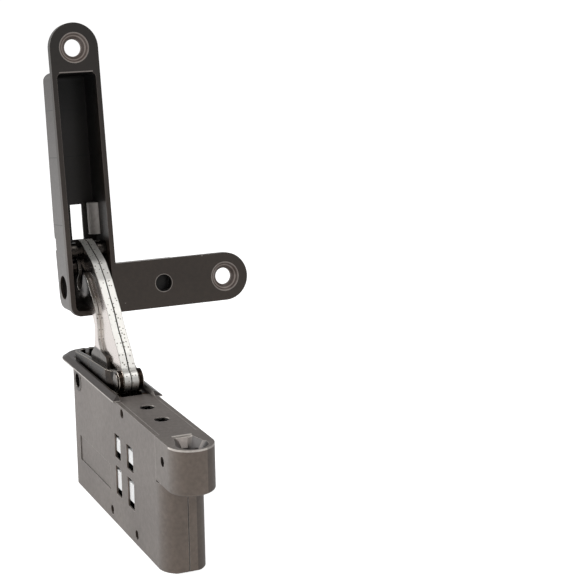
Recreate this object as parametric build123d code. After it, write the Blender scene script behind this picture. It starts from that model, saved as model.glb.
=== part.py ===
from build123d import *
import os
from math import atan2, cos, degrees, hypot, pi, radians, sin

os.makedirs("parts", exist_ok=True)

# Concealed door hinge, millimetres. X runs along the housing towards its fixing boss, Y is the way
# of every pivot pin, Z points up out of the door edge. The origin is the axis of the boss's screw
# hole at the housing's top face. The hinge stands fully open, at its 98 degree stop.

# Fits
SLIP = 0.05            # gap on each side of a fixed piece that drops into place
RUN = 0.05             # radial clearance of a turning pin
LAYER = 0.1            # gap between two arm layers that pass each other
SPLIT = 0.12           # half the gap between the front arm's two plates

# Housing
WIDTH = 14.0           # housing thickness, which sits in a 14 mm mortice
DEPTH = 40.5           # housing depth below its top face
FAR_X = -97.0          # far round end
NOSE_X = -3.0          # nose under the boss
FOOT_FAR_R = 3.5       # rounding of the shells' lower corners
FOOT_NOSE_R = 1.2
SEAM = 0.3             # width and depth of the groove between the shells
SEAM_DEPTH = 0.4
WALL = 1.4             # shell wall
FLOOR = 1.6            # shell floor
BOSS_DEPTH = 13.8
PLATE = 2.6            # top plate thickness
PLATE_X = -49.8        # free edge of the top plate
SCREW_R = 2.6          # fixing screw hole in the boss
MOUTH_R = 4.8          # round front of the boss's bowl
MOUTH_X = 1.6          # its centre
MOUTH_BACK_X = -6.5    # straight back edge of the bowl
MOUTH_BACK = 5.2       # length of that edge
MOUTH_CORNER = 1.4     # radius of the back edge's ends
MOUTH_DEPTH = 3.0
MOUTH_SLOPE = 36.0     # draft of the bowl's wall in degrees
BOSS_FILLET = 0.8
HALF_WIDTH = WIDTH / 2
BOSS_X = NOSE_X - HALF_WIDTH  # where the boss meets the shells
CAVITY = HALF_WIDTH - WALL
INNER = CAVITY - SLIP
FLOOR_Z = FLOOR - DEPTH

# Collar round the arms' opening
COLLAR_TOP = 1.5
COLLAR_EDGE = 0.4      # thickness left at the collar's outer edge
COLLAR_HALF = 8.0
COLLAR_FRONT_X = -45.5
COLLAR_CENTRE_X = -99.0
COLLAR_SLOT_X = -99.4  # far end of the opening in the collar
COLLAR_SLOPE = 1.7     # width of the sloping edge

# Windows, label field and holes in the shells
WINDOW_COLUMNS = ((-48.4, -42.8), (-36.9, -30.8))
WINDOW_ROWS = ((-18.2, -10.4), (-30.2, -20.8))
WINDOW_CORNER = 0.4
WINDOW_WALL = 0.55     # the shell is this thin round the windows
WINDOW_RIM = 1.6       # how far that thin field reaches past the windows
SLEEVES = ((-16.3, -12.1), (-28.4, -22.4))  # flat spring sleeves behind the windows
SLEEVE = 1.15          # their thickness
LABEL = (-86.0, -54.0, -30.8, -22.4)
LABEL_DEPTH = 0.3
PIN_RISE = 3.3         # shell pins above the housing's underside
PIN_HOLES = ((-53.4, PIN_RISE - DEPTH), (-29.6, PIN_RISE - DEPTH))
PIN_HOLE_R = 1.5
PIN_GRIP = 0.2         # how far the shell pins reach into the walls
TOP_HOLE = (-40.2, -2.1)
BOSS_HOLE = (-4.0, -6.0)
RING = (-86.0, -3.7)   # side bushes
RING_R = 3.6
RING_HOLE_R = 2.4
RING_PROUD = 0.15

# Linkage: pivots seen along Y, as (X, Z)
OPEN_ANGLE = 98.0      # turn of the bracket from open to closed
LEAN = radians(OPEN_ANGLE - 90.0)
BRACKET_FOOT = (-86.9, 25.5)
P1 = (-54.2, 4.0)      # front arm on the carrier
P2 = (-71.0, -5.5)     # rear arm's slot on the carrier
K1_UN = (13.0, 6.0)    # front arm on the bracket: up the leg, behind its face
K2_UN = (7.4, 7.7)     # rear arm on the bracket
FRONT_PIN_R = 1.9
KNUCKLE_PIN_R = 1.6
REAR_KNUCKLE_PIN_R = 1.5
REAR_PIN_R = 1.5
PIN_HEAD = (2.5, 0.4)  # radius and height of the front pin's domed heads
EYE_R = 3.5            # eyes of the arms
KNUCKLE_BUSH_R = 2.7

# Arm layers, half widths along Y
FRONT_ARM = 2.3
REAR_PLATE = 1.0       # thickness of the rear arm's plates
CHEEK = 1.5            # thickness of the carrier's cheeks
REAR_IN = FRONT_ARM + LAYER
REAR_OUT = REAR_IN + REAR_PLATE
CHEEK_IN = REAR_OUT + LAYER
CHEEK_OUT = CHEEK_IN + CHEEK
EYE_IN = FRONT_ARM + LAYER
EYE_OUT = EYE_IN + CHEEK

# Arm outlines, as (x, z, corner radius) from the pivot that each stretch belongs to
FRONT_FOOT_EDGE = ((3.0, 0.6, 1.5), (-2.4, 8.4, 6), (-8.1, 14.2, 8), (-11.8, 19.2, 8))
FRONT_HEAD = (
    (20.65, -5.94, 8), (14.15, -0.94, 8), (1.45, 3.66, 1.5), (-1.95, -2.54, 1.5), (9.25, -6.54, 6),
    (13.55, -12.04, 8),
)
FRONT_FOOT_BACK = ((-21.1, 16.3, 6), (-20.0, 7.5, 4), (-14.8, 4.0, 3), (-4.3, 2.6, 1))
REAR_FOOT_EDGE = ((-2.5, 22.5, 5), (-2.6, 18.0, 3), (-0.5, 15.1, 2), (5.4, 14.1, 1.2), (9.4, 1.5, 4))
REAR_CRANK = ((2.8, -2.8, 2.7), (-2.8, -2.8, 2.7))
REAR_FOOT_BACK = (
    (2.0, -4.1, 2), (-6.0, -3.9, 3), (-11.0, 11.5, 2), (-6.8, 14.7, 2), (-5.6, 18.5, 4), (-5.6, 22.5, 3),
)
REAR_HOOK = (
    (15.95, -11.16, 3), (1.75, -11.16, 4), (-3.05, -5.76, 3), (-3.65, 0.04, 2), (0.05, 0.04, 0),
    (9.15, -0.16, 1), (12.75, -1.46, 3), (20.15, -9.16, 6),
)
FOOT_SLOT = (6.7, 4.6, 1.6)  # slot in the rear arm's foot: length, height, corner radius
FOOT_SLOT_AT = (-0.04, 0.22)
HOOK_ROOM = 0.5        # gap round the front knuckle's pin where the hook passes it
HOOK_END = -56.0       # direction of the path's end in degrees, seen from the rear knuckle
HOOK_FAR = 20.0        # reach of the cut that opens the path

# Bracket: u up the long leg, n behind the front face
LEAF = 2.6             # plate thickness
LEAF_HALF = 8.0
LEG_TOP_U = 78.3       # centre of the leg's round top
SIDE_LEG_Y = 45.7      # centre of the side leg's round end
MID_HOLE_Y = 24.0
LEAF_CORNER = 3.3
PAD = (8.0, 28.0, 4.0)  # raised pad behind the side leg: Y from, Y to, its back face
POCKET_HALF = 7.2
POCKET_WALL = 0.75
POCKET_CORNER = 2.6
POCKET_IN = POCKET_HALF - POCKET_WALL
POCKET_BACK_WALL = 0.9
POCKET_LOW_U = -7.4    # lower and upper end of the pocket
POCKET_TOP_U = 71.3
PIN_END = POCKET_IN + 0.4  # blind ends of the knuckle pins in the near wall
POCKET_TOP_N = 14.2
POCKET_BACK = ((53.0, 15.0), (33.0, 15.9), (20.0, 16.4), (8.0, 16.3))  # its bowed back, as (u, n)
POCKET_LOW_N = 15.9
POCKET_BEND = 20.0     # radius of the back's bends
POCKET_TOP_R = 3.0
POCKET_LOW_R = 4.6
BACK_WINDOW = (16.0, 27.6, -1.4, 2.6)  # hole in the pocket's back: u from, u to, Y from, Y to
NOTCH = (13.0, 17.0)   # notch beside it in the near wall
SIDE_HOLE = (1.0, 10.3, 3.9)  # large hole in the near wall: u, n, radius
BEAD = (17.5, 28.0, 12.6, 3.6)  # rounded rib beside the window: u from, u to, n, radius
BEAD_SINK = 0.8        # how far the rib's axis lies behind the wall's inner face
SCREW_HOLE_R = 2.75    # wood screw holes in the bracket
COUNTERSINK_R = 4.75
COUNTERSINK = 1.8      # depth of the screw heads' seats
MID_HOLE_R = 2.8
MID_HOLE_DEPTH = 3.2   # blind hole in the side leg's pad

# Spring line and damper, both along X
SPRING_Z = -18.0
SPRING_R = 1.7         # mean radius of the coil
WIRE_R = 0.4
PITCH = 1.58
GUIDE_R = 1.0
DAMPER_Z = -29.0
DAMPER_R = 2.9
DAMPER_WALL = 0.7
GLAND = 2.0            # thickness of the damper's end
ROD_R = 1.2
ABUTMENT_X = -16.0
STROKE = 5.4           # travel of the spring carriage
CRANK = (-65.5, -15.0)  # roller on the rear arm's lower end
ROLLER_R = 2.0
CRANK_PIN_R = 1.2
PUSH_X = -62.3         # the carriage's face in front of the roller
TONGUE = 5.0
CARRIAGE = 4.0         # length of the carriage's wide part
CARRIAGE_HALF = 5.0

# Height adjusting screws
ADJUST_X = (-36.8, -23.7)
ADJUST_HOLE_R = 2.35
ADJUST_HEAD_R = 2.25
ADJUST_SHANK_R = 1.5
ADJUST_TOP = -0.3      # top of the heads
ADJUST_HEAD = 3.6      # height of the heads
ADJUST_LENGTH = 9.4
CROSS = (3.7, 1.15, 1.8)  # cross recess: length, width, depth
BLOCK = (-48.5, -19.0, -10.0)  # carrier block: X from, X to, underside
BLOCK_GAP = 0.6        # gap between the block and the top plate

# Carrier's cheeks, seen along Y
CHEEK_FRONT_X = -40.0
CHEEK_LOW_Z = -10.0
CHEEK_EYE_R = 3.3
CHEEK_TOP = ((-58.5, 6.3), (-81.0, 5.0), (-97.0, 3.5))  # top edge behind the eye, as (x, z)
CHEEK_JOG_X = -60.4    # where the cheek steps in towards its eye
CHEEK_TAIL_X = -98.7
CHEEK_SEAM_Z = -1.0


def rest(u, n):
    """Place of a bracket point in the open pose, as (X, Z)."""
    x, z = BRACKET_FOOT
    return (x - u * sin(LEAN) - n * cos(LEAN), z + u * cos(LEAN) - n * sin(LEAN))


K1 = rest(*K1_UN)
K2 = rest(*K2_UN)
BRACKET = Plane(
    origin=(BRACKET_FOOT[0], 0, BRACKET_FOOT[1]),
    x_dir=(-sin(LEAN), 0, cos(LEAN)),
    z_dir=(-cos(LEAN), 0, -sin(LEAN)),
)


def box(x0, x1, y0, y1, z0, z1):
    """Box between two corners."""
    return Pos((x0 + x1) / 2, (y0 + y1) / 2, (z0 + z1) / 2) * Box(x1 - x0, y1 - y0, z1 - z0)


def slab(sketch, y0, y1):
    """Solid whose side view is the sketch, drawn as (X, Z), between two Y places."""
    plane = Plane(origin=(0, y1, 0), x_dir=(1, 0, 0), z_dir=(0, -1, 0))
    return extrude(plane * sketch, amount=y1 - y0)


def disc(at, radius, y0, y1):
    """Round solid along Y about a pivot."""
    return slab(Pos(*at) * Circle(radius), y0, y1)


def rod(radius, z, x0, x1):
    """Round solid along X on the housing's middle plane."""
    return Pos((x0 + x1) / 2, 0, z) * Rot(0, 90, 0) * Cylinder(radius, x1 - x0)


def outline(corners):
    """Face through (x, z, radius) corners, each rounded to its own radius."""
    face = make_face(Polyline(*[(x, z) for x, z, radius in corners], close=True))
    for x, z, radius in corners:
        if radius:
            corner = face.vertices().sort_by_distance((x, z, 0))[0]
            face = fillet(corner, radius)
    return face


def stadium(x0, x1, half):
    """Plan of a straight bar with two round ends."""
    return Pos((x0 + x1) / 2, 0) * SlotOverall(x1 - x0, 2 * half)


def both(make):
    """The same piece on both sides of the middle plane."""
    near = make(-1)
    far = make(1)
    return Compound([near, far])


def side(y_in, y_out, which):
    """Y span on the near (-1) or the far (+1) side."""
    return (-y_out, -y_in) if which < 0 else (y_in, y_out)


def save(shape, name):
    """One STEP file for each node."""
    export_step(shape, "parts/" + name + ".step")


def window_field(y0, y1):
    """Room behind the windows, where the shell's wall is thin."""
    x0 = WINDOW_COLUMNS[0][0] - WINDOW_RIM
    x1 = WINDOW_COLUMNS[1][1] + WINDOW_RIM
    return box(x0, x1, y0, y1, WINDOW_ROWS[1][0] - WINDOW_RIM, WINDOW_ROWS[0][1] + WINDOW_RIM)


def spring_sleeve(which, z0, z1):
    """Flat side of a spring sleeve, seen in the windows."""
    outer = HALF_WIDTH - WINDOW_WALL - SLIP
    x0 = WINDOW_COLUMNS[0][0] - WINDOW_RIM + SLIP
    x1 = WINDOW_COLUMNS[1][1] + WINDOW_RIM - SLIP
    return box(x0, x1, *side(outer - SLEEVE, outer, which), z0, z1)


def shell(which):
    """Half of the housing, split along its middle plane."""
    body = extrude(stadium(FAR_X, NOSE_X, HALF_WIDTH), -DEPTH)
    profile = outline(
        [(FAR_X, 1, 0), (FAR_X, -DEPTH, FOOT_FAR_R), (NOSE_X, -DEPTH, FOOT_NOSE_R), (NOSE_X, 1, 0)]
    )
    body = body & slab(profile, -HALF_WIDTH, HALF_WIDTH)
    cavity = extrude(stadium(FAR_X + WALL, NOSE_X - WALL, CAVITY), DEPTH)
    body -= Pos(0, 0, FLOOR_Z) * cavity
    body -= box(BOSS_X, 10, -9, 9, -BOSS_DEPTH, 1)
    half = box(FAR_X - 1, NOSE_X + 1, *side(0, 9, which), -DEPTH - 1, 1)
    body = body & half
    body -= seam(which)
    wall = side(CAVITY - 1, HALF_WIDTH + 1, which)
    for x0, x1 in WINDOW_COLUMNS:
        for z0, z1 in WINDOW_ROWS:
            corners = ((x0, z0), (x1, z0), (x1, z1), (x0, z1))
            body -= slab(outline([(x, z, WINDOW_CORNER) for x, z in corners]), *wall)
    body -= window_field(*side(CAVITY - 1, HALF_WIDTH - WINDOW_WALL, which))
    x0, x1, z0, z1 = LABEL
    body -= box(x0, x1, *side(HALF_WIDTH - LABEL_DEPTH, HALF_WIDTH + 1, which), z0, z1)
    for at in PIN_HOLES + (TOP_HOLE,):
        body -= disc(at, PIN_HOLE_R, *wall)
    return body - disc(RING, RING_R + SLIP, *wall)


def seam(which):
    """Fine groove along the line where the two shells meet."""
    left, right, under = FAR_X - 1, NOSE_X + 1, -DEPTH - 1
    around = outline([(left, 1, 0), (left, under, 0), (right, under, 0), (right, 1, 0)])
    far, nose, low = FAR_X + SEAM_DEPTH, NOSE_X - SEAM_DEPTH, SEAM_DEPTH - DEPTH
    around -= outline([(far, 1, 0), (far, low, FOOT_FAR_R), (nose, low, FOOT_NOSE_R), (nose, 1, 0)])
    return slab(around, *side(0, SEAM / 2, which))


def bowl():
    """The boss's screw bowl: round in front, cut straight at its back, with a sloping wall."""
    front = (MOUTH_X, MOUTH_R)
    back = (MOUTH_BACK_X, MOUTH_BACK / 2)
    plan = make_face(Polyline(back, front, (front[0], -front[1]), (back[0], -back[1]), close=True))
    plan += Pos(MOUTH_X, 0) * Circle(MOUTH_R)
    plan = fillet(plan.vertices().group_by(Axis.X)[0], MOUTH_CORNER)
    return extrude(plan, -MOUTH_DEPTH, taper=MOUTH_SLOPE)


def top_frame():
    """Fixing boss and top plate in one piece."""
    block = box(BOSS_X, 0, -HALF_WIDTH, HALF_WIDTH, -BOSS_DEPTH, 0)
    block += extrude(Circle(HALF_WIDTH), -BOSS_DEPTH)
    block = fillet(block.edges().filter_by(GeomType.CIRCLE).group_by(Axis.Z)[0], BOSS_FILLET)
    block += box(PLATE_X, BOSS_X + 1, -INNER, INNER, -PLATE, 0)
    block -= bowl()
    block -= Pos(0, 0, -BOSS_DEPTH / 2) * Cylinder(SCREW_R, BOSS_DEPTH + 1)
    for x in ADJUST_X:
        block -= Pos(x, 0, -PLATE / 2) * Cylinder(ADJUST_HOLE_R, PLATE + 1)
    for which in (-1, 1):
        block -= disc(BOSS_HOLE, PIN_HOLE_R, *side(HALF_WIDTH - 1.5, HALF_WIDTH + 1, which))
    return block


def collar():
    """Flat rim with a sloping outer edge round the arms' opening, open at its front."""
    tip = COLLAR_CENTRE_X - COLLAR_HALF
    plan = stadium(tip, COLLAR_FRONT_X + COLLAR_HALF, COLLAR_HALF)
    plan -= Pos(COLLAR_FRONT_X + COLLAR_HALF, 0) * Rectangle(2 * COLLAR_HALF, 2 * COLLAR_HALF)
    rim = extrude(plan, COLLAR_EDGE)
    rise = COLLAR_TOP - COLLAR_EDGE
    rim += Pos(0, 0, COLLAR_EDGE) * extrude(plan, rise, taper=degrees(atan2(COLLAR_SLOPE, rise)))
    slot = stadium(COLLAR_SLOT_X, COLLAR_FRONT_X + COLLAR_HALF, CAVITY)
    return rim - Pos(0, 0, -1) * extrude(slot, COLLAR_TOP + 2)


def cheek_plan():
    """Plan of the near cheek's upper part: a wall that curves in at its tail and steps in to its eye."""
    wall = stadium(CHEEK_TAIL_X, CHEEK_JOG_X + CHEEK_OUT, CHEEK_OUT)
    wall -= stadium(CHEEK_TAIL_X + CHEEK, CHEEK_JOG_X + CHEEK_OUT, CHEEK_IN)
    keep = (CHEEK_TAIL_X, CHEEK_JOG_X - CHEEK)
    wall = wall & Pos(sum(keep) / 2, -CHEEK_OUT) * Rectangle(keep[1] - keep[0], 2 * CHEEK_OUT - CHEEK)
    step = make_face(Polyline(
        (keep[1], -CHEEK_OUT), (keep[1], -CHEEK_IN), (CHEEK_JOG_X, -CHEEK_IN), (CHEEK_JOG_X, -EYE_IN),
        (P1[0], -EYE_IN), (P1[0], -EYE_OUT), (CHEEK_JOG_X + CHEEK_EYE_R, -EYE_OUT), close=True,
    ))
    return wall + step


def carrier_cheek(which):
    """Side plate of the inner carrier, with the eyes of both arm pins."""
    under_plate = -PLATE - 0.5
    lower = outline([
        (CHEEK_FRONT_X, under_plate, 0.6), (CHEEK_FRONT_X, CHEEK_LOW_Z, 0.6), (P2[0], CHEEK_LOW_Z, 3),
        (RING[0] - 3.0, RING[1] - RING_R, 2.5), (RING[0] - 3.0, 0.0, 2.5), (P1[0] + 3.2, 0.0, 1),
        (P1[0] + 3.2, under_plate, 1),
    ])
    cavity_end = FAR_X + WALL + CAVITY
    upper = make_face(Polyline(
        (P1[0], CHEEK_SEAM_Z), (cavity_end, CHEEK_SEAM_Z), (cavity_end, SLIP), (CHEEK_TAIL_X, SLIP),
        (CHEEK_TAIL_X, CHEEK_TOP[2][1]), CHEEK_TOP[2], CHEEK_TOP[1], CHEEK_TOP[0],
        (P1[0], P1[1] + CHEEK_EYE_R), close=True,
    ))
    plan = cheek_plan() if which < 0 else mirror(cheek_plan(), Plane.XZ)
    tall = P1[1] + 2 * CHEEK_EYE_R
    walls = Pos(0, 0, CHEEK_SEAM_Z) * extrude(plan, tall) & slab(upper, -CHEEK_OUT, CHEEK_OUT)
    y = side(CHEEK_IN, CHEEK_OUT, which)
    eye_y = side(EYE_IN, EYE_OUT, which)
    cheek = slab(lower, *y) + walls + disc(P1, CHEEK_EYE_R, *eye_y)
    cheek -= disc(P1, FRONT_PIN_R, *eye_y)
    cheek -= disc(P2, REAR_PIN_R, *y)
    return cheek - disc(RING, RING_HOLE_R, *y)


def carrier_block():
    """Block between the cheeks that the adjusting screws hold."""
    x0, x1, z0 = BLOCK
    block = box(x0, x1, -CHEEK_IN, CHEEK_IN, z0, -PLATE - BLOCK_GAP)
    for x in ADJUST_X:
        block -= Pos(x, 0, z0 / 2) * Cylinder(ADJUST_SHANK_R, -z0)
        block -= Pos(x, 0, ADJUST_TOP - ADJUST_HEAD / 2) * Cylinder(ADJUST_HEAD_R + SLIP, ADJUST_HEAD)
    return block


def adjusting_screw(x):
    """Cross-head screw in one hole of the top plate."""
    length, width, depth = CROSS
    screw = Pos(x, 0, ADJUST_TOP - ADJUST_HEAD / 2) * Cylinder(ADJUST_HEAD_R, ADJUST_HEAD)
    for turn in (45, 135):
        screw -= Pos(x, 0, ADJUST_TOP - depth / 2) * Rot(0, 0, turn) * Box(length, width, depth)
    shank = ADJUST_LENGTH - ADJUST_HEAD
    return screw + Pos(x, 0, ADJUST_TOP - ADJUST_HEAD - shank / 2) * Cylinder(ADJUST_SHANK_R, shank)


def front_pin():
    """Pivot of the front arm, riveted over with domed heads."""
    radius, height = PIN_HEAD
    pin = disc(P1, FRONT_PIN_R, -EYE_OUT, EYE_OUT)
    for which in (-1, 1):
        head = disc(P1, radius, *side(EYE_OUT, EYE_OUT + height, which))
        rim = head.edges().filter_by(GeomType.CIRCLE).sort_by(Axis.Y)[0 if which < 0 else -1]
        pin += fillet(rim, height * 0.8)
    return pin


def side_bush(which):
    """Bush in the shell wall over the carrier's tail."""
    y = side(CHEEK_OUT + SLIP, HALF_WIDTH + RING_PROUD, which)
    return disc(RING, RING_R, *y) - disc(RING, RING_HOLE_R, *y)


def along(pivot, edge):
    """Outline points given from a pivot."""
    return [(pivot[0] + x, pivot[1] + z, radius) for x, z, radius in edge]


def front_arm_plate(which):
    """One of the two sheared plates that make up the front arm."""
    plate = outline(along(P1, FRONT_FOOT_EDGE) + along(K1, FRONT_HEAD) + along(P1, FRONT_FOOT_BACK))
    y = side(SPLIT, FRONT_ARM, which)
    arm = slab(plate, *y) + disc(P1, EYE_R, *y) + disc(K1, EYE_R, *y)
    return arm - disc(P1, FRONT_PIN_R + RUN, *y) - disc(K1, KNUCKLE_PIN_R + RUN, *y)


def knuckle_path():
    """Room that the front arm's knuckle pin sweeps through the rear arm, seen along Y."""
    reach = hypot(K1[0] - K2[0], K1[1] - K2[1])
    room = KNUCKLE_PIN_R + HOOK_ROOM
    end = radians(HOOK_END)
    way = Vector(cos(end), sin(end))
    x, z = K2
    ring = Pos(x, z) * (Circle(reach + room) - Circle(reach - room))
    keep = make_face(Polyline(
        K2, (x + HOOK_FAR * way.X, z + HOOK_FAR * way.Y), (x + HOOK_FAR, z), (x + HOOK_FAR, z + HOOK_FAR),
        (x - 2, z + HOOK_FAR), close=True,
    ))
    return (ring & keep) + Pos(x + reach * way.X, z + reach * way.Y) * Circle(room)


def rear_arm_plate(which):
    """One of the two hooked plates outside the front arm, with the slotted foot eye."""
    foot = along(P2, REAR_FOOT_EDGE) + along(CRANK, REAR_CRANK) + along(P2, REAR_FOOT_BACK)
    plate = outline(foot + along(K2, REAR_HOOK))
    y = side(REAR_IN, REAR_OUT, which)
    arm = slab(plate, *y) + disc(K2, EYE_R, *y)
    arm -= slab(knuckle_path(), *y)
    arm -= slab(Pos(P2[0] + FOOT_SLOT_AT[0], P2[1] + FOOT_SLOT_AT[1]) * RectangleRounded(*FOOT_SLOT), *y)
    arm -= disc(CRANK, CRANK_PIN_R, *y)
    return arm - disc(K2, REAR_KNUCKLE_PIN_R + RUN, *y)


def crank_pin():
    """Pin that ties the rear arm's plates together and carries the roller."""
    return disc(CRANK, CRANK_PIN_R, -REAR_OUT, REAR_OUT)


def crank_roller():
    """Roller that pushes the spring carriage."""
    half = REAR_IN - SLIP
    return disc(CRANK, ROLLER_R, -half, half) - disc(CRANK, CRANK_PIN_R + RUN, -half, half)


def bracket():
    """Angled leaf with two legs and the deep pocket that takes in the folded arms."""
    leaf = Pos((LEG_TOP_U - LEAF_HALF) / 2, 0) * Rectangle(LEG_TOP_U + LEAF_HALF, 2 * LEAF_HALF)
    leaf += Pos(LEG_TOP_U, 0) * Circle(LEAF_HALF)
    leaf += Pos(0, SIDE_LEG_Y / 2) * Rectangle(2 * LEAF_HALF, SIDE_LEG_Y)
    leaf += Pos(0, SIDE_LEG_Y) * Circle(LEAF_HALF)
    corner = leaf.vertices().sort_by_distance((-LEAF_HALF, -LEAF_HALF, 0))[0]
    leaf = fillet(corner, LEAF_CORNER)
    body = extrude(leaf, LEAF)
    body += box(-LEAF_HALF + 1, LEAF_HALF, PAD[0] - 1, PAD[1], LEAF - 1, PAD[2])
    body += pocket_solid(0.0, POCKET_HALF)
    body -= pocket_solid(POCKET_BACK_WALL, POCKET_IN)
    for u, y in ((LEG_TOP_U, 0), (0, SIDE_LEG_Y)):
        body -= Pos(u, y, LEAF / 2) * Cylinder(SCREW_HOLE_R, LEAF + 1)
        body -= Pos(u, y, COUNTERSINK / 2) * Cone(COUNTERSINK_R, SCREW_HOLE_R, COUNTERSINK)
    body -= Pos(0, MID_HOLE_Y, (MID_HOLE_DEPTH - 1) / 2) * Cylinder(MID_HOLE_R, MID_HOLE_DEPTH + 1)
    deep = POCKET_BACK[2][1]
    body -= box(*BACK_WINDOW, deep - 4, deep + 2)
    body -= box(*NOTCH, -POCKET_HALF - 1, -POCKET_IN, deep - 1, deep + 2)
    return BRACKET.location * body - pocket_holes()


def pocket_solid(inset, half):
    """The pocket's shape, or its hollow where it is set in by the wall."""
    low = POCKET_LOW_U + inset
    top = POCKET_TOP_U - inset
    mouth = -1.0 if inset else 1.0
    back = [(u, n - inset, POCKET_BEND) for u, n in POCKET_BACK]
    profile = outline(
        [(low, mouth, 0), (top, mouth, 0), (top - 0.4, POCKET_TOP_N - inset, POCKET_TOP_R - inset)]
        + back + [(low + 1.8, POCKET_LOW_N - inset, POCKET_LOW_R - inset)]
    )
    plane = Plane(origin=(0, half, 0), x_dir=(1, 0, 0), z_dir=(0, -1, 0))
    plan = Pos((low + top) / 2, 0) * RectangleRounded(top - low, 2 * half, POCKET_CORNER - inset)
    deep = POCKET_BACK[2][1] + 4
    return extrude(plane * profile, 2 * half) & Pos(0, 0, -2) * extrude(plan, deep)


def pocket_holes():
    """Pin holes in the pocket's walls and the large hole in its near wall."""
    holes = disc(K1, KNUCKLE_PIN_R, -PIN_END, POCKET_HALF)
    holes += disc(K2, REAR_KNUCKLE_PIN_R, -PIN_END, POCKET_HALF)
    u, n, radius = SIDE_HOLE
    return holes + disc(rest(u, n), radius, -POCKET_HALF - 1, -POCKET_IN + 1)


def pocket_bead():
    """Rounded rib on the far inner wall of the pocket, beside the window."""
    u0, u1, n, radius = BEAD
    rib = Pos((u0 + u1) / 2, POCKET_IN + BEAD_SINK, n) * Rot(0, 90, 0) * Cylinder(radius, u1 - u0)
    rib = rib & pocket_solid(POCKET_BACK_WALL + SLIP, POCKET_IN)
    return BRACKET.location * rib


def knuckle_bush(at, hole, which):
    """Spacer between the arms and the pocket's wall."""
    y = side(REAR_OUT + LAYER, POCKET_IN - SLIP, which)
    return disc(at, KNUCKLE_BUSH_R, *y) - disc(at, hole, *y)


def spring_carriage():
    """Sliding block between the roller, the spring and the damper."""
    tongue = box(PUSH_X, PUSH_X + TONGUE + 1, -FRONT_ARM + 0.1, FRONT_ARM - 0.1, -20.0, -5.8)
    wide_x = PUSH_X + TONGUE
    half = CARRIAGE_HALF
    body = tongue + box(wide_x, wide_x + CARRIAGE, -half, half, DAMPER_Z - 3.0, -12.0)
    body -= rod(GUIDE_R + RUN, SPRING_Z, PUSH_X - 1, wide_x + CARRIAGE + 1)
    return body - rod(ROD_R, DAMPER_Z, wide_x + 1.0, wide_x + CARRIAGE + 1)


def guide_rod():
    """Rod inside the coil spring."""
    return rod(GUIDE_R, SPRING_Z, -56.6, ABUTMENT_X + 2.0)


def damper_cylinder():
    """Closed tube of the damper with its gland."""
    mouth = PUSH_X + TONGUE + CARRIAGE + STROKE + 0.4
    tube = rod(DAMPER_R, DAMPER_Z, mouth, ABUTMENT_X + 2.0)
    tube -= rod(DAMPER_R - DAMPER_WALL, DAMPER_Z, mouth + GLAND, ABUTMENT_X - 1.0)
    return tube - rod(ROD_R + RUN, DAMPER_Z, mouth - 1.0, mouth + GLAND + 1.0)


def damper_rod():
    """Piston rod, held by the carriage."""
    start = PUSH_X + TONGUE + 1.0
    piston = PUSH_X + TONGUE + CARRIAGE + STROKE + GLAND + 0.8
    head = rod(DAMPER_R - DAMPER_WALL - RUN, DAMPER_Z, piston, piston + 2.5)
    return rod(ROD_R, DAMPER_Z, start, piston) + head


def spring_abutment():
    """Block that closes the spring line under the boss."""
    block = box(ABUTMENT_X, BOSS_X - 0.2, -INNER + 0.1, INNER - 0.1, DAMPER_Z - 4.0, -BOSS_DEPTH - 0.4)
    block -= rod(GUIDE_R, SPRING_Z, ABUTMENT_X - 1, ABUTMENT_X + 2.0)
    return block - rod(DAMPER_R, DAMPER_Z, ABUTMENT_X - 1, ABUTMENT_X + 2.0)


def helix_point(turn, start):
    """Centre of the spring wire after a number of turns."""
    angle = 2 * pi * turn
    return Vector(start + PITCH * turn, SPRING_R * cos(angle), SPRING_Z + SPRING_R * sin(angle))


def helix_way(turn):
    """Direction of the spring wire after a number of turns."""
    angle = 2 * pi * turn
    return Vector(PITCH, -2 * pi * SPRING_R * sin(angle), 2 * pi * SPRING_R * cos(angle)).normalized()


def biarc(start, start_way, end, end_way):
    """Two arcs that join two points smoothly, in the given directions."""
    chord = end - start
    ways = start_way + end_way
    spread = 2 * (1 - start_way.dot(end_way))
    along = chord.dot(ways)
    reach = ((along ** 2 + spread * chord.dot(chord)) ** 0.5 - along) / spread
    left = start + start_way * reach
    right = end - end_way * reach
    middle = (left + right) * 0.5
    return [
        TangentArc(start, middle, tangent=start_way),
        TangentArc(middle, end, tangent=(right - left).normalized()),
    ]


def least_coil_gap(start):
    """Smallest gap between the wire and its own other turns, measured on points."""
    steps = 24
    points = [helix_point(step / steps, start) for step in range(2 * steps)]
    gaps = [(points[0] - point).length for point in points[steps // 2:]]
    return min(gaps) - 2 * WIRE_R


def return_spring():
    """Coil spring: one wire swept along biarcs of half turns of a helix."""
    start = PUSH_X + TONGUE + CARRIAGE + WIRE_R + SLIP
    room = ABUTMENT_X - start - WIRE_R - SLIP
    halves = int(2 * room / PITCH)
    arcs = []
    for half in range(halves):
        turn = half / 2
        arcs += biarc(
            helix_point(turn, start), helix_way(turn), helix_point(turn + 0.5, start), helix_way(turn + 0.5)
        )
    wire = Wire(arcs)
    section = Plane(origin=wire @ 0, z_dir=wire % 0) * Circle(WIRE_R)
    print("spring curls", halves / 2, "least gap to itself", round(least_coil_gap(start), 2))
    return sweep(section, path=wire)


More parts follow.
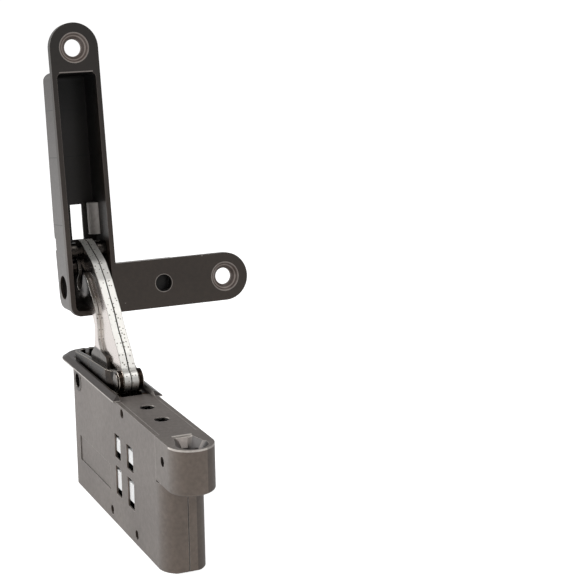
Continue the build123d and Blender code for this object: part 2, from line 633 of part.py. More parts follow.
def export_parts():
    """Write every node."""
    save(shell(-1), "near_shell")
    save(shell(1), "far_shell")
    save(top_frame(), "top_frame")
    save(collar(), "collar")
    save(carrier_cheek(-1), "carrier_near_cheek")
    save(carrier_cheek(1), "carrier_far_cheek")
    save(carrier_block(), "carrier_block")
    save(Compound([adjusting_screw(x) for x in ADJUST_X]), "adjusting_screws")
    save(both(side_bush), "side_bushes")
    grip = CAVITY + PIN_GRIP
    save(Compound([disc(at, PIN_HOLE_R, -grip, grip) for at in PIN_HOLES]), "shell_pins")
    save(Compound([spring_sleeve(which, *z) for which in (-1, 1) for z in SLEEVES]), "spring_sleeves")
    save(front_pin(), "front_pin")
    save(disc(P2, REAR_PIN_R, -CHEEK_OUT, CHEEK_OUT), "rear_pin")
    save(front_arm_plate(-1), "front_arm_near_plate")
    save(front_arm_plate(1), "front_arm_far_plate")
    save(rear_arm_plate(-1), "rear_arm_near_plate")
    save(rear_arm_plate(1), "rear_arm_far_plate")
    save(crank_pin(), "crank_pin")
    save(crank_roller(), "crank_roller")
    save(bracket(), "bracket")
    save(pocket_bead(), "pocket_bead")
    save(disc(K1, KNUCKLE_PIN_R, -PIN_END, POCKET_HALF), "front_knuckle_pin")
    save(disc(K2, REAR_KNUCKLE_PIN_R, -PIN_END, POCKET_HALF), "rear_knuckle_pin")
    save(both(lambda which: knuckle_bush(K1, KNUCKLE_PIN_R, which)), "front_knuckle_bushes")
    save(both(lambda which: knuckle_bush(K2, REAR_KNUCKLE_PIN_R, which)), "rear_knuckle_bushes")
    save(spring_carriage(), "spring_carriage")
    save(guide_rod(), "guide_rod")
    save(damper_cylinder(), "damper_cylinder")
    save(damper_rod(), "damper_rod")
    save(spring_abutment(), "spring_abutment")
    save(return_spring(), "return_spring")


export_parts()
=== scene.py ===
from math import cos, pi, radians, sin

import bmesh
import bpy
from mathutils import Matrix, Vector


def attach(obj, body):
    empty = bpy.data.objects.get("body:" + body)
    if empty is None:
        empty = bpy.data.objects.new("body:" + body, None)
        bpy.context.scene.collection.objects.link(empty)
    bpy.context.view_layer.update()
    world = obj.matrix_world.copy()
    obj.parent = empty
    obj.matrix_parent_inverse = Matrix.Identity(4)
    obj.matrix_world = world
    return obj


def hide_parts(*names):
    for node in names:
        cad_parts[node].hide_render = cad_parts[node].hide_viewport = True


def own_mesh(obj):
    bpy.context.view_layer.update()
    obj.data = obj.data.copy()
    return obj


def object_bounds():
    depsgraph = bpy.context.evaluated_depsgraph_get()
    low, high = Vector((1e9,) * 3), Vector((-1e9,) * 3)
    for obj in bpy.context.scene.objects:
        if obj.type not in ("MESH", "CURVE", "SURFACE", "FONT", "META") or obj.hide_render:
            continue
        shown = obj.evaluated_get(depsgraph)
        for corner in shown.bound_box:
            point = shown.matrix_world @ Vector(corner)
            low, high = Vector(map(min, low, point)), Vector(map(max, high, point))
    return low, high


# Concealed door hinge, standing open. X runs along the housing towards its screw boss, Y along the
# pivot pins, Z up. Sizes below are millimetres, which MM turns into the scene's metres.

MM = 0.001
LEAN = radians(8.0)            # how far the open bracket leans back
LEAF_FOOT = (-86.9, 25.5)      # X and Z of the bracket's own origin, at the crossing of its two legs
LEG_SCREW = (78.3, 0.0)        # screw seats on the bracket: up the leg, and Y
SIDE_SCREW = (0.0, 45.7)
PIN_HOLE = (0.0, 24.0)         # blind hole of the side leg
PLATE_BACK = 2.7               # the pocket's sides begin this far behind the bracket's face
BOWL_REACH = 6.15              # the boss's bowl lies within this distance of the origin
CLOUD = 22.0                   # spots of the dark enamels' slow change in tone
SPRING_ENDS = (-52.85, -16.5)  # coil spring along X
SPRING_Z = -18.0

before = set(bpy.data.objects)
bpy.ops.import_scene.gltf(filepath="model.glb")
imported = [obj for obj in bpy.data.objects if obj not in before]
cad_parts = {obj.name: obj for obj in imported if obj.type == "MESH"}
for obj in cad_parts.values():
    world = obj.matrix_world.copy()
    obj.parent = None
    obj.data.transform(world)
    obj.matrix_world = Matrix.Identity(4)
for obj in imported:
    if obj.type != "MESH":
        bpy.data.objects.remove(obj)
cad_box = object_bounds()


def linear(code):
    """An sRGB hex colour as linear light."""
    parts = [int(code[i:i + 2], 16) / 255 for i in (1, 3, 5)]
    return [p / 12.92 if p <= 0.04045 else ((p + 0.055) / 1.055) ** 2.4 for p in parts] + [1.0]


def add(tree, kind, settings=None, inputs=None, out=0):
    """One node with its settings and with values or links on its inputs, given back as one of its
    outputs. The two stops of a colour ramp are (position, hex colour) pairs."""
    node = tree.nodes.new("ShaderNode" + kind)
    for name, value in (settings or {}).items():
        if name == "stops":
            for mark, (position, code) in zip(node.color_ramp.elements, value):
                mark.position = position
                mark.color = linear(code)
        else:
            setattr(node, name, value)
    for socket, value in (inputs or {}).items():
        if isinstance(value, bpy.types.NodeSocket):
            tree.links.new(value, node.inputs[socket])
        else:
            node.inputs[socket].default_value = value
    return node.outputs[out] if len(node.outputs) else None


def start(name):
    """A fresh node material and its empty tree."""
    material = bpy.data.materials.new(name)
    material.use_nodes = True
    material.node_tree.nodes.clear()
    return material, material.node_tree


def surface(tree, values):
    """The material's shader with values or links on its own sockets, wired to the output."""
    shader = add(tree, "BsdfPrincipled", inputs=values)
    add(tree, "OutputMaterial", inputs={"Surface": shader})


def grain(tree, size_mm, detail=3.0, stretch=(1.0, 1.0, 1.0)):
    """Noise whose spots are about size_mm across, in the part's own frame."""
    place = add(tree, "TexCoord", out="Object")
    scaled = add(tree, "Mapping", inputs={"Vector": place, "Scale": stretch})
    return add(tree, "TexNoise", inputs={
        "Vector": scaled, "Scale": 1 / (size_mm * MM), "Detail": detail,
    }, out="Fac")


def layered(tree, colour, *coats):
    """A colour with coats laid over it, each a mask, the most that it covers, and its colour."""
    for mask, most, over in coats:
        share = add(tree, "Math", {"operation": "MULTIPLY"}, {0: mask, 1: most})
        over = linear(over) if isinstance(over, str) else over
        colour = add(tree, "Mix", {"data_type": "RGBA"}, {0: share, 6: colour, 7: over}, out=2)
    return colour


def all_of(tree, first, *masks):
    """1 where every mask is 1."""
    for mask in masks:
        first = add(tree, "Math", {"operation": "MULTIPLY"}, {0: first, 1: mask})
    return first


def any_of(tree, first, *masks):
    """1 where at least one mask is 1."""
    for mask in masks:
        first = add(tree, "Math", {"operation": "MAXIMUM"}, {0: first, 1: mask})
    return first


def rounded_edges(tree, radius_mm):
    """A normal that rounds sharp edges, and a mask that is 1 along them."""
    soft = add(tree, "Bevel", {"samples": 8}, {"Radius": radius_mm * MM})
    flat = add(tree, "NewGeometry", out="Normal")
    same = add(tree, "VectorMath", {"operation": "DOT_PRODUCT"}, {0: soft, 1: flat}, out="Value")
    mask = add(tree, "MapRange", inputs={"Value": same, "From Min": 0.995, "From Max": 0.80})
    return soft, mask


def recess(tree, reach_mm, darkest):
    """1 on open surfaces, falling to darkest in holes and deep pockets of the same piece. Multiplied
    into a colour it is painted shade.
    """
    open_sky = add(tree, "AmbientOcclusion", {"samples": 8, "only_local": True}, {
        "Distance": reach_mm * MM,
    }, out="AO")
    return add(tree, "MapRange", inputs={
        "Value": open_sky, "From Min": 0.40, "From Max": 0.74, "To Min": darkest, "To Max": 1.0,
    })


def along_axis(tree, axis):
    """One coordinate of the part's own frame, in metres."""
    place = add(tree, "TexCoord", out="Object")
    return add(tree, "SeparateXYZ", inputs={"Vector": place}, out=axis)


def facing(tree, axis):
    """How far a surface faces one way, from -1 to 1."""
    normal = add(tree, "NewGeometry", out="Normal")
    return add(tree, "SeparateXYZ", inputs={"Vector": normal}, out=axis)


def between(tree, value, low_mm, high_mm):
    """1 where a length lies in a range, 0 elsewhere."""
    middle, half = (low_mm + high_mm) / 2, (high_mm - low_mm) / 2
    return add(tree, "Math", {"operation": "COMPARE"}, {0: value, 1: middle * MM, 2: half * MM})


def on_leaf(u, y, n):
    """A point of the bracket: up its leg, sideways and behind its face, in metres of the frame."""
    x = LEAF_FOOT[0] - u * sin(LEAN) - n * cos(LEAN)
    z = LEAF_FOOT[1] + u * cos(LEAN) - n * sin(LEAN)
    return (x * MM, y * MM, z * MM)


def on_bracket(tree):
    """A point's place on the bracket: up its leg, sideways and behind its face, in metres."""
    place = add(tree, "TexCoord", out="Object")
    foot = (LEAF_FOOT[0] * MM, 0.0, LEAF_FOOT[1] * MM)
    away = add(tree, "VectorMath", {"operation": "SUBTRACT"}, {0: place, 1: foot})
    up, aside, back = (
        add(tree, "VectorMath", {"operation": "DOT_PRODUCT"}, {0: away, 1: way}, out="Value")
        for way in ((-sin(LEAN), 0.0, cos(LEAN)), (0.0, 1.0, 0.0), (-cos(LEAN), 0.0, -sin(LEAN)))
    )
    return up, aside, back


def from_hole(tree, u, y, behind_mm=0.0):
    """Distance from a hole's axis where it leaves the bracket's face, or from a point behind that."""
    place = add(tree, "TexCoord", out="Object")
    return add(tree, "VectorMath", {"operation": "DISTANCE"}, {
        0: place, 1: on_leaf(u, y, behind_mm),
    }, out="Value")


def screw_seat(tree, u, y):
    """1 inside one countersink of the bracket, 0 elsewhere. The point in front of the face that it
    measures from takes in the whole cone and leaves out the plate's back."""
    behind_mm = -1.5
    reach_mm = 4.97
    from_point = from_hole(tree, u, y, behind_mm)
    return add(tree, "Math", {"operation": "LESS_THAN"}, {0: from_point, 1: reach_mm * MM})


def enamel_skin(tree, colour, edge, roughness, coat, deep, reach_mm):
    """Satin stoving enamel: fine grit that breaks up its gloss, a slight mottle, pale thin edges that
    are partly edge wear and partly painted highlight, and a duller skin down in holes, where the colour
    is darkened as painted shade."""
    edge_mm = 0.22
    mottle_mm = 1.3
    grit_mm = 0.35       # coarser than the real skin's peel, so that it shows
    grit_deep_mm = 0.03
    normal, worn_edge_and_highlight = rounded_edges(tree, edge_mm)
    spots = grain(tree, grit_mm, 2.0)
    bump = add(tree, "Bump", inputs={
        "Strength": 0.10, "Distance": grit_deep_mm * MM, "Height": spots, "Normal": normal,
    })
    recess_shade = recess(tree, reach_mm, deep)
    dull = add(tree, "MapRange", inputs={"Value": recess_shade, "To Min": 0.85, "To Max": 0.0})
    gloss = add(tree, "MapRange", inputs={
        "Value": spots, "To Min": roughness - 0.05, "To Max": roughness + 0.07,
    })
    mottle = add(tree, "MapRange", inputs={
        "Value": grain(tree, mottle_mm, 3.0), "From Min": 0.3, "From Max": 0.7,
        "To Min": 0.88, "To Max": 1.10,
    })
    # Painted shade: the recess factor darkens the colour in holes and deep pockets; the mottle is the
    # enamel's own tone.
    shade = all_of(tree, recess_shade, mottle)
    # The pale edge colour is partly edge wear and partly painted highlight.
    finished = layered(tree, colour, (worn_edge_and_highlight, 0.85, edge))
    surface(tree, {
        "Base Color": add(tree, "Mix", {"data_type": "RGBA", "blend_type": "MULTIPLY"}, {
            0: 1.0, 6: finished, 7: shade,
        }, out=2),
        "Metallic": 0.15,
        "Roughness": add(tree, "Math", {"operation": "MAXIMUM"}, {0: gloss, 1: dull}),
        "Coat Weight": coat,
        "Coat Roughness": 0.24,
        "Coat Normal": normal,
        "Normal": bump,
    })


def housing_enamel():
    """Grey-brown metallic stoving enamel on die-cast zinc. Where the skin faces along the housing, as on
    the nose, it is browner, a painted warm reflection, and it is greyer on the flat sides. The boss's
    top edge carries a painted highlight, the bowl's walls carry painted light and shade, pale on the
    back wall and dark on the sides, and the far side's rounded edges are darkened as painted shade."""
    cloud_mm = 26.0
    rim_mm = (-0.62, -0.02)          # heights below the boss's top
    bowl_mm = (-4.0, -0.1)
    edge_faces, spread = 0.68, 0.28  # how far the far side's rounded edges face along Y
    material, tree = start("housing_enamel")
    broad = grain(tree, cloud_mm, 2.0)
    side = add(tree, "ValToRGB", {"stops": [(0.3, "#736c68"), (0.7, "#817a75")]}, {"Fac": broad})
    nose = add(tree, "ValToRGB", {"stops": [(0.3, "#776b62"), (0.7, "#81746a")]}, {"Fac": broad})
    forward = facing(tree, "X")
    # Painted reflection: surfaces facing along X take the browner nose colour.
    turned = add(tree, "MapRange", inputs={"Value": forward, "From Min": 0.1, "From Max": 0.8})
    height = along_axis(tree, "Z")
    place = add(tree, "TexCoord", out="Object")
    level = add(tree, "VectorMath", {"operation": "MULTIPLY"}, {0: place, 1: (1.0, 1.0, 0.0)})
    from_boss = add(tree, "VectorMath", {"operation": "LENGTH"}, {0: level}, out="Value")
    outer = add(tree, "Math", {"operation": "GREATER_THAN"}, {0: from_boss, 1: BOWL_REACH * MM})
    inner = add(tree, "Math", {"operation": "LESS_THAN"}, {0: from_boss, 1: BOWL_REACH * MM})
    in_front = add(tree, "Math", {"operation": "GREATER_THAN"}, {0: forward, 1: 0.12})
    # Painted highlight: a pale band along the boss's outer top edge.
    rim = all_of(tree, between(tree, height, *rim_mm), in_front, outer)
    in_bowl = all_of(tree, between(tree, height, *bowl_mm), inner)
    # Painted light and shade in the bowl: pale where its wall faces forward, dark on the side walls.
    wall = add(tree, "ValToRGB", {"stops": [(0.15, "#231d1a"), (0.75, "#cfc4bd")]}, {"Fac": forward})
    # Painted shade on the far side's rounded edges, which are turned away from the lamps.
    far_edge = add(tree, "Math", {"operation": "COMPARE"}, {
        0: facing(tree, "Y"), 1: edge_faces, 2: spread,
    })
    skin = layered(
        tree, side,
        (turned, 1.0, nose),
        (in_bowl, 1.0, wall),
        (rim, 0.85, "#efe7df"),
        (far_edge, 0.5, "#2e2a28"),
    )
    enamel_skin(tree, skin, "#d2cbc4", roughness=0.46, coat=0.08, deep=0.2, reach_mm=7.0)
    return material


def mould_lines(tree, up, back):
    """1 on the fine joints that the mould's inserts left across the pocket's sides."""
    joints_up_mm = (21.6, 43.6, 58.9)
    half_mm = 0.15
    lines = any_of(tree, *(between(tree, up, at - half_mm, at + half_mm) for at in joints_up_mm))
    behind = add(tree, "Math", {"operation": "GREATER_THAN"}, {0: back, 1: PLATE_BACK * MM})
    return all_of(tree, lines, behind)


def painted_rim_highlights(tree, up, aside, back):
    """1 where painted highlights and painted light go: on the rims round the three holes and along the
    pocket's upper lip, and on the upward faces of the raised pad behind the side leg."""
    hole_rim_mm = (2.75, 3.05)
    seat_rim_mm = (4.7, 4.95)
    lip_up_mm = (70.4, 70.75)
    lip_aside_mm = (-5.6, 5.6)
    pad_aside_mm = (8.2, 28.1)
    face_mm, pad_mm = 0.05, 0.3  # the face lies nearer than the first, the pad further than the second
    on_face = add(tree, "Math", {"operation": "LESS_THAN"}, {0: back, 1: face_mm * MM})
    behind = add(tree, "Math", {"operation": "GREATER_THAN"}, {0: back, 1: pad_mm * MM})
    topside = add(tree, "Math", {"operation": "GREATER_THAN"}, {0: facing(tree, "Z"), 1: 0.8})
    rims = any_of(
        tree,
        between(tree, from_hole(tree, *PIN_HOLE), *hole_rim_mm),
        between(tree, from_hole(tree, *LEG_SCREW), *seat_rim_mm),
        between(tree, from_hole(tree, *SIDE_SCREW), *seat_rim_mm),
        all_of(tree, between(tree, up, *lip_up_mm), between(tree, aside, *lip_aside_mm)),
    )
    pad = all_of(tree, topside, between(tree, aside, *pad_aside_mm), behind)
    return any_of(tree, all_of(tree, rims, on_face), pad)


def bracket_enamel():
    """Dark brown stoving enamel on die-cast zinc, darkened up the leg as painted shade and lightened on
    the pocket's near side as painted light, with a few chips, turned warm grey metal in the screw seats
    and painted highlights on the rims."""
    darker_up_mm = (12, 80)
    greyer_up_mm = (82, 45)
    near_wall_mm = -6.0
    chips_apart_mm = 9.0
    chip_mm = 0.3
    cutter_mm = 0.75     # coarser than the real cutter's marks, so that they show
    material, tree = start("bracket_enamel")
    up, aside, back = on_bracket(tree)
    broad = grain(tree, CLOUD, 2.0)
    skin = add(tree, "ValToRGB", {"stops": [(0.3, "#382d25"), (0.7, "#40352c")]}, {"Fac": broad})
    # Painted shade darkens the leg towards its top; painted light lifts the pocket's near side lower
    # down.
    painted_shade_up_leg, paler = (
        add(tree, "MapRange", inputs={"Value": up, "From Min": first * MM, "From Max": last * MM})
        for first, last in (darker_up_mm, greyer_up_mm)
    )
    # Painted light: the pocket's near side, facing the lamps, is made paler.
    near = all_of(
        tree, paler,
        add(tree, "Math", {"operation": "LESS_THAN"}, {0: facing(tree, "Y"), 1: -0.9}),
        add(tree, "Math", {"operation": "LESS_THAN"}, {0: aside, 1: near_wall_mm * MM}),
        add(tree, "Math", {"operation": "GREATER_THAN"}, {0: back, 1: PLATE_BACK * MM}),
    )
    place = add(tree, "TexCoord", out="Object")
    to_chip = add(tree, "TexVoronoi", inputs={
        "Vector": place, "Scale": 1 / (chips_apart_mm * MM),
    }, out="Distance")
    chips = add(tree, "Math", {"operation": "LESS_THAN"}, {0: to_chip, 1: chip_mm / chips_apart_mm})
    seats, rings = [], []
    for seat in (LEG_SCREW, SIDE_SCREW):
        waves = add(tree, "Math", {"operation": "MULTIPLY"}, {
            0: from_hole(tree, *seat), 1: 2 * pi / (cutter_mm * MM),
        })
        seats.append(screw_seat(tree, *seat))
        rings.append(all_of(tree, add(tree, "Math", {"operation": "SINE"}, {0: waves}), seats[-1]))
    turned = any_of(tree, *rings)
    bare = add(tree, "ValToRGB", {"stops": [(0.0, "#675b55"), (1.0, "#b0a39b")]}, {"Fac": turned})
    skin = layered(
        tree, skin,
        (painted_shade_up_leg, 0.75, "#171413"),
        (near, 0.9, "#595553"),
        (mould_lines(tree, up, back), 0.8, "#120f0e"),
        (chips, 0.6, "#9a928b"),
        # Painted highlights on the rims and painted light on the pad.
        (painted_rim_highlights(tree, up, aside, back), 0.75, "#a8a09a"),
        (any_of(tree, *seats), 1.0, bare),
    )
    enamel_skin(tree, skin, "#8f857e", roughness=0.38, coat=0.35, deep=0.06, reach_mm=17.0)
    return material


def collar_enamel():
    """Dark stoving enamel on a zinc rim, with pale paint on its thin upright faces as a painted
    highlight.
    """
    material, tree = start("collar_enamel")
    broad = grain(tree, CLOUD, 2.0)
    skin = add(tree, "ValToRGB", {"stops": [(0.3, "#3a3431"), (0.7, "#433c38")]}, {"Fac": broad})
    upright = add(tree, "Math", {"operation": "COMPARE"}, {0: facing(tree, "Z"), 1: 0.0, 2: 0.3})
    # Painted highlight on the thin upright faces.
    skin = layered(tree, skin, (upright, 0.8, "#cfc8c1"))
    enamel_skin(tree, skin, "#b9b2ab", roughness=0.34, coat=0.3, deep=0.3, reach_mm=6.0)
    return material


def plain_enamel(name, shade, light, edge, roughness):
    """Matt stoving enamel of one tone, without a glossy coat."""
    material, tree = start(name)
    broad = grain(tree, CLOUD, 2.0)
    skin = add(tree, "ValToRGB", {"stops": [(0.3, shade), (0.7, light)]}, {"Fac": broad})
    enamel_skin(tree, skin, edge, roughness, coat=0.0, deep=0.3, reach_mm=6.0)
    return material


def plated_arms(name, dull, lighter, low_mm, high_mm, amount, corner_mm, pocket_shade):
    """Polished nickel plate on blanked steel: mirror faces, and bright sheared edges with sparse pits
    and a dark line where they meet the faces, a painted shade drawn three times as wide as it is so that
    it shows. Between two heights above the boss's top a darker tone takes over towards the pins; on the
    front arms it is painted shade where they go down into the housing's opening. Plates standing in the
    bracket's pocket are painted dark there as shade, with painted highlights on their corners."""
    pits_apart_mm = 1.1
    pit_deep_mm = 0.05
    low_tone_mm = 2.4
    scour_mm = 0.3            # coarser than real polishing marks, so that it shows
    pocket_mm = (22.5, 25.5)  # heights over which the pocket's shelter begins
    material, tree = start(name)
    normal, corner = rounded_edges(tree, corner_mm)
    sideways = add(tree, "Math", {"operation": "ABSOLUTE"}, {0: facing(tree, "Y")})
    edge_band = add(tree, "Math", {"operation": "LESS_THAN"}, {0: sideways, 1: 0.6})
    place = add(tree, "TexCoord", out="Object")
    pits = add(tree, "TexVoronoi", inputs={
        "Vector": place, "Scale": 1 / (pits_apart_mm * MM), "Randomness": 0.75,
    }, out="Distance")
    dots = add(tree, "MapRange", inputs={
        "Value": pits, "From Min": 0.18, "From Max": 0.26, "To Min": 0.85, "To Max": 0.0,
    })
    sheared = layered(tree, linear("#f3f1ec"), (dots, 1.0, "#6f695f"))
    height = along_axis(tree, "Z")
    # A darker tone low down; on the front arms it is painted shade, where they go down into the
    # housing's opening.
    low = add(tree, "MapRange", inputs={
        "Value": height, "From Min": low_mm * MM, "From Max": high_mm * MM,
        "To Min": amount, "To Max": 0.0,
    })
    spots = grain(tree, low_tone_mm, 3.0)
    low_tone = add(tree, "ValToRGB", {"stops": [(0.35, dull), (0.65, lighter)]}, {"Fac": spots})
    # The dark corner line is painted shade.
    skin = layered(
        tree, linear("#f0e7e2"),
        (edge_band, 1.0, sheared),
        (corner, 0.85, "#4a453e"),
        (low, 1.0, low_tone),
    )
    # Painted shade: plates in the pocket are darkened above these heights, with painted highlights on
    # their corners.
    if pocket_shade:
        inside = add(tree, "MapRange", inputs={
            "Value": height, "From Min": pocket_mm[0] * MM, "From Max": pocket_mm[1] * MM,
        })
        pocket_shade_colour = layered(tree, linear("#2c2724"), (edge_band, 1.0, "#5b554f"), (corner, 1.0, "#f6f2ec"))
        skin = layered(tree, skin, (inside, 0.95, pocket_shade_colour))
    fine = grain(tree, scour_mm, 2.0)
    mirror = add(tree, "MapRange", inputs={"Value": fine, "To Min": 0.12, "To Max": 0.20})
    torn = add(tree, "MapRange", inputs={"Value": fine, "To Min": 0.38, "To Max": 0.52})
    bump = add(tree, "Bump", {"invert": True}, {
        "Strength": 0.3, "Distance": pit_deep_mm * MM, "Height": all_of(tree, dots, edge_band),
        "Normal": normal,
    })
    surface(tree, {
        "Base Color": skin,
        "Metallic": 1.0,
        "Roughness": add(tree, "Mix", {"data_type": "FLOAT"}, {0: edge_band, 2: mirror, 3: torn}),
        "Normal": bump,
    })
    return material


def bare_metal(name, dark, light, roughness, metallic=1.0, stretch=(1.0, 1.0, 1.0), size_mm=0.25,
               edge="#e8e4df", edge_mm=0.25):
    """Turned, drawn or cast metal: marks that spread its highlights, and pale edges that are partly edge
    wear and partly painted highlight. The marks are coarser than real ones, which are too fine to show."""
    mark_deep_mm = 0.02
    material, tree = start(name)
    normal, worn_edge_and_highlight = rounded_edges(tree, edge_mm)
    marks = grain(tree, size_mm, 3.0, stretch)
    colour = add(tree, "ValToRGB", {"stops": [(0.35, dark), (0.65, light)]}, {"Fac": marks})
    bump = add(tree, "Bump", inputs={
        "Strength": 0.15, "Distance": mark_deep_mm * MM, "Height": marks, "Normal": normal,
    })
    # The pale edge colour is partly edge wear and partly painted highlight.
    surface(tree, {
        "Base Color": layered(tree, colour, (worn_edge_and_highlight, 0.85, edge)),
        "Metallic": metallic,
        "Roughness": add(tree, "MapRange", inputs={
            "Value": marks, "To Min": roughness - 0.06, "To Max": roughness + 0.06,
        }),
        "Normal": bump,
    })
    return material


def moulded_acetal():
    """Black moulded acetal: dark, slightly waxy, with a faint mould grain."""
    grain_mm = 0.4       # coarser than the real mould's grain, so that it shows
    material, tree = start("moulded_acetal")
    fine = grain(tree, grain_mm, 2.0)
    surface(tree, {
        "Base Color": add(tree, "ValToRGB", {"stops": [(0.3, "#19191a"), (0.7, "#222223")]}, {
            "Fac": fine,
        }),
        "Roughness": add(tree, "MapRange", inputs={"Value": fine, "To Min": 0.42, "To Max": 0.55}),
        "IOR": 1.48,
    })
    return material


def dress():
    """Give every CAD node its finish, and add the two pieces that only the scene has."""
    housing = housing_enamel()
    leaf = bracket_enamel()
    collar = collar_enamel()
    # Enamel lifted pale as painted light, so the bead reads as a light line on the brown leaf, where the
    # pocket's far wall catches the light.
    bead = plain_enamel("bead_enamel", "#c2bcb7", "#d5cfca", "#8b857f", 0.5)
    # Dark brown enamel, kept dark as painted shade, so the abutment sinks into the shade of its window.
    cast = plain_enamel("abutment_enamel", "#332b28", "#3b332f", "#6b635e", 0.4)
    # Plated casting: nearly black faces between broad pale edges, the edges a painted highlight.
    casting = bare_metal("plated_zinc_casting", "#120d0a", "#3a3028", 0.26, size_mm=3.0,
                         edge="#f6ecdf", edge_mm=0.4)
    # Ground pins: marks along Y draw each highlight out along the pin.
    ground = bare_metal("ground_steel", "#8f8a84", "#b5b0aa", 0.24, stretch=(1.0, 0.1, 1.0))
    # The front pin's polished dome: one small sharp highlight on grey.
    glossy = bare_metal("bright_domed_steel", "#5a544f", "#77716b", 0.14, size_mm=0.6)
    # Drawn rod and wire: pale grey, streaked along X.
    drawn = bare_metal("drawn_steel", "#c6c8c6", "#dcdedc", 0.26, stretch=(0.1, 1.0, 1.0))
    # Strip passivated to a pale bloom, which shows white in the narrow windows and mirrors little.
    zinc = bare_metal("zinc_plated_strip", "#f6f7f7", "#fefefe", 0.42, metallic=0.0, size_mm=1.2)
    # Dark matt heads without a pale edge: painted shade, so they look as deep as the holes they fill.
    black = bare_metal("steel_painted_as_hole_shade", "#171615", "#242220", 0.45, size_mm=0.5, edge="#2b2927")
    # Oiled bronze: a dull brown-grey ring with a paler rim.
    bush = bare_metal("bronze_bush", "#4b4643", "#5d5753", 0.36, size_mm=0.5, edge="#a59e98")
    arms = plated_arms("nickel_plated_blanking", "#3d372c", "#b4aca2", low_mm=0.5, high_mm=4.5,
                       amount=0.85, corner_mm=0.3, pocket_shade=False)
    feet = plated_arms("nickel_plate_with_ground_foot", "#1f1b19", "#5b544d", low_mm=9.3, high_mm=10.0,
                       amount=0.97, corner_mm=0.14, pocket_shade=True)
    # Steel dark with oil: small glints along the knuckles' edges.
    dark = bare_metal("oiled_dark_steel", "#2a2725", "#45413d", 0.22, size_mm=0.5, edge="#a8a29b")
    # Pale soft grey zinc, more matt than mirror, on the ridge that stands in as a painted highlight
    # along the bowl's back edge.
    highlight_zinc = bare_metal("pale_zinc_painted_highlight", "#c9c0b8", "#dcd4cc", 0.4, metallic=0.3, size_mm=0.5)
    acetal = moulded_acetal()
    finishes = {
        housing: ("near_shell", "far_shell", "top_frame"),
        collar: ("collar",),
        leaf: ("bracket",),
        bead: ("pocket_bead",),
        cast: ("spring_abutment",),
        casting: ("carrier_near_cheek", "carrier_far_cheek", "carrier_block"),
        ground: ("rear_pin", "crank_pin", "crank_roller"),
        dark: ("front_knuckle_pin", "rear_knuckle_pin", "front_knuckle_bushes", "rear_knuckle_bushes"),
        glossy: ("front_pin",),
        drawn: ("guide_rod", "damper_cylinder", "damper_rod"),
        zinc: ("spring_sleeves",),
        black: ("shell_pins", "adjusting_screws"),
        bush: ("side_bushes",),
        arms: ("front_arm_near_plate", "front_arm_far_plate"),
        feet: ("rear_arm_near_plate", "rear_arm_far_plate"),
        acetal: ("spring_carriage",),
    }
    for material, names in finishes.items():
        for name in names:
            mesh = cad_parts[name].data
            mesh.materials.clear()
            mesh.materials.append(material)
    coil_spring(drawn)
    bowl_ridge(highlight_zinc)


def bowl_ridge(material):
    """A low pale ridge along the straight back edge of the boss's bowl, a painted highlight of that
    edge.
    """
    x, half, wide = -6.6, 3.0, 0.45  # place along X, half its length and half its width
    tall, sunk, edge_r = 0.22, 0.1, 0.06
    crown = 0.6 * wide
    mesh = bmesh.new()
    section = [(-wide, -sunk), (-crown, tall), (crown, tall), (wide, -sunk)]
    ends = [
        [mesh.verts.new(((x + dx) * MM, y * MM, dz * MM)) for dx, dz in section]
        for y in (-half, half)
    ]
    for here in range(len(section)):
        after = (here + 1) % len(section)
        mesh.faces.new((ends[0][here], ends[0][after], ends[1][after], ends[1][here]))
    mesh.faces.new(ends[0][::-1])
    mesh.faces.new(ends[1])
    bmesh.ops.recalc_face_normals(mesh, faces=mesh.faces)
    bmesh.ops.bevel(mesh, geom=mesh.edges[:], offset=edge_r * MM, segments=2, affect="EDGES")
    ridge_mesh = bpy.data.meshes.new("bowl_ridge")
    mesh.to_mesh(ridge_mesh)
    mesh.free()
    ridge = bpy.data.objects.new("bowl_ridge", ridge_mesh)
    bpy.context.scene.collection.objects.link(ridge)
    ridge_mesh.materials.append(material)
    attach(ridge, "housing")


def coil_spring(material):
    """The return spring as one wire with its end coils closed."""
    coil_r, wire_r = 1.7, 0.4  # the coil's radius is to the middle of the wire
    turns, steps, corners = 24, 28, 10
    closed_pitch = 2 * wire_r + 0.05
    far, near = SPRING_ENDS
    open_pitch = (near - far - 2 * closed_pitch) / (turns - 2)
    mesh = bmesh.new()
    rings = []
    for step in range(turns * steps + 1):
        turn = step / steps
        angle = 2 * pi * turn
        x = far + closed_pitch * min(turn, 1) + open_pitch * min(max(turn - 1, 0), turns - 2)
        x += closed_pitch * max(turn - turns + 1, 0)
        pitch = open_pitch if 1 < turn < turns - 1 else closed_pitch
        out = Vector((0, cos(angle), sin(angle)))
        way = Vector((pitch / (2 * pi), -coil_r * sin(angle), coil_r * cos(angle))).normalized()
        aside = way.cross(out)
        centre = Vector((x, 0, SPRING_Z)) + out * coil_r
        rings.append([
            mesh.verts.new((centre + (out * cos(a) + aside * sin(a)) * wire_r) * MM)
            for a in (2 * pi * corner / corners for corner in range(corners))
        ])
    for first, second in zip(rings, rings[1:]):
        for corner in range(corners):
            after = (corner + 1) % corners
            mesh.faces.new((first[corner], first[after], second[after], second[corner]))
    mesh.faces.new(rings[0][::-1])
    mesh.faces.new(rings[-1])
    bmesh.ops.recalc_face_normals(mesh, faces=mesh.faces)
    for face in mesh.faces:
        face.smooth = len(face.verts) == 4
    wire = bpy.data.meshes.new("coil_wire")
    mesh.to_mesh(wire)
    mesh.free()
    spring = bpy.data.objects.new("coil_spring", wire)
    bpy.context.scene.collection.objects.link(spring)
    wire.materials.append(material)
    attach(spring, "housing")
    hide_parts("return_spring")
    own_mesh(spring)


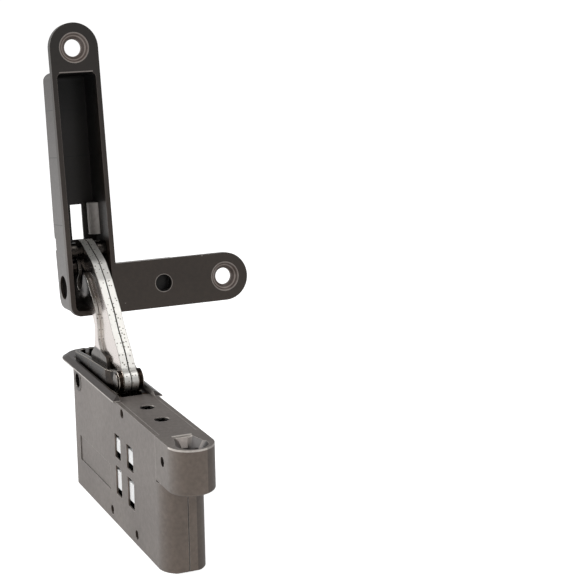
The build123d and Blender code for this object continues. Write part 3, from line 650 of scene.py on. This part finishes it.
def camera():
    """The photograph's view: its place, its axes and its focal length in pixels of a 576 pixel frame."""
    place = Vector((416.165, -150.830, 148.372)) * MM
    right = Vector((0.40289, 0.91514, -0.01380))
    down = Vector((0.20468, -0.10479, -0.97320))
    ahead = right.cross(down)
    focal_px = 1650.0
    frame_px = 576.0
    eye = bpy.data.objects.new("camera", bpy.data.cameras.new("camera"))
    bpy.context.scene.collection.objects.link(eye)
    eye.matrix_world = Matrix.Translation(place) @ Matrix((right, -down, -ahead)).transposed().to_4x4()
    eye.data.sensor_width = 36.0
    eye.data.lens = eye.data.sensor_width * focal_px / frame_px
    eye.data.clip_start = 0.01
    eye.data.clip_end = 20.0
    bpy.context.scene.camera = eye


def lamp(name, place, aim, size, power):
    """A square soft box with white light. Its place, its aim and its side are in metres."""
    light = bpy.data.lights.new(name, "AREA")
    light.size = size
    light.energy = power
    box = bpy.data.objects.new(name, light)
    box.location = place
    box.rotation_euler = (Vector(aim) - Vector(place)).to_track_quat("-Z", "Y").to_euler()
    bpy.context.scene.collection.objects.link(box)


def studio():
    """Soft light from the left and above, in a white room that is brighter near the horizon."""
    horizon, overhead = 0.62, 0.28
    world = bpy.data.worlds.new("studio")
    bpy.context.scene.world = world
    world.use_nodes = True
    tree = world.node_tree
    tree.nodes.clear()
    way = add(tree, "TexCoord", out="Generated")
    height = add(tree, "SeparateXYZ", inputs={"Vector": way}, out="Z")
    shed = add(tree, "MapRange", inputs={
        "Value": height, "From Min": 0.0, "From Max": 0.7, "To Min": horizon, "To Max": overhead,
    })
    white = linear("#ffffff")
    soft = add(tree, "Background", inputs={"Color": white, "Strength": shed})
    seen = add(tree, "Background", inputs={"Color": white, "Strength": 1.0})
    camera_ray = add(tree, "LightPath", out="Is Camera Ray")
    glass_ray = add(tree, "LightPath", out="Is Transmission Ray")
    shown = add(tree, "MixShader", inputs={0: any_of(tree, camera_ray, glass_ray), 1: soft, 2: seen})
    add(tree, "OutputWorld", inputs={"Surface": shown})
    lamp("left_box", (-0.32, -0.52, 0.26), (-0.06, 0.0, 0.02), size=0.4, power=2.5)
    lamp("strip_box", (0.22, 0.28, 0.65), (-0.07, 0.0, 0.03), size=0.4, power=1.05)


def floor():
    """A plain pale floor under the housing. Its own glow lifts it to white for the camera and keeps
    the shadow, and metal mirrors a share of that glow."""
    level = cad_box[0][2]
    half = 3.0
    glow_strength, mirrored_share = 0.80, 0.3
    mesh = bpy.data.meshes.new("floor")
    corners = [(-half, -half, level), (half, -half, level), (half, half, level), (-half, half, level)]
    mesh.from_pydata(corners, [], [(0, 1, 2, 3)])
    ground = bpy.data.objects.new("floor", mesh)
    bpy.context.scene.collection.objects.link(ground)
    material, tree = start("white_paper")
    mirrored = add(tree, "MapRange", inputs={
        "Value": add(tree, "LightPath", out="Is Glossy Ray"), "To Max": mirrored_share,
    })
    camera_ray = add(tree, "LightPath", out="Is Camera Ray")
    glass_ray = add(tree, "LightPath", out="Is Transmission Ray")
    backlight = add(tree, "MapRange", inputs={
        "Value": any_of(tree, camera_ray, mirrored, glass_ray), "To Max": glow_strength,
    })
    paper = add(tree, "BsdfDiffuse", inputs={"Color": linear("#e8e8e8")})
    glow = add(tree, "Emission", inputs={"Color": linear("#ffffff"), "Strength": backlight})
    both = add(tree, "AddShader", inputs={0: paper, 1: glow})
    add(tree, "OutputMaterial", inputs={"Surface": both})
    mesh.materials.append(material)


dress()
camera()
studio()
floor()
bpy.context.scene.view_settings.view_transform = "Standard"
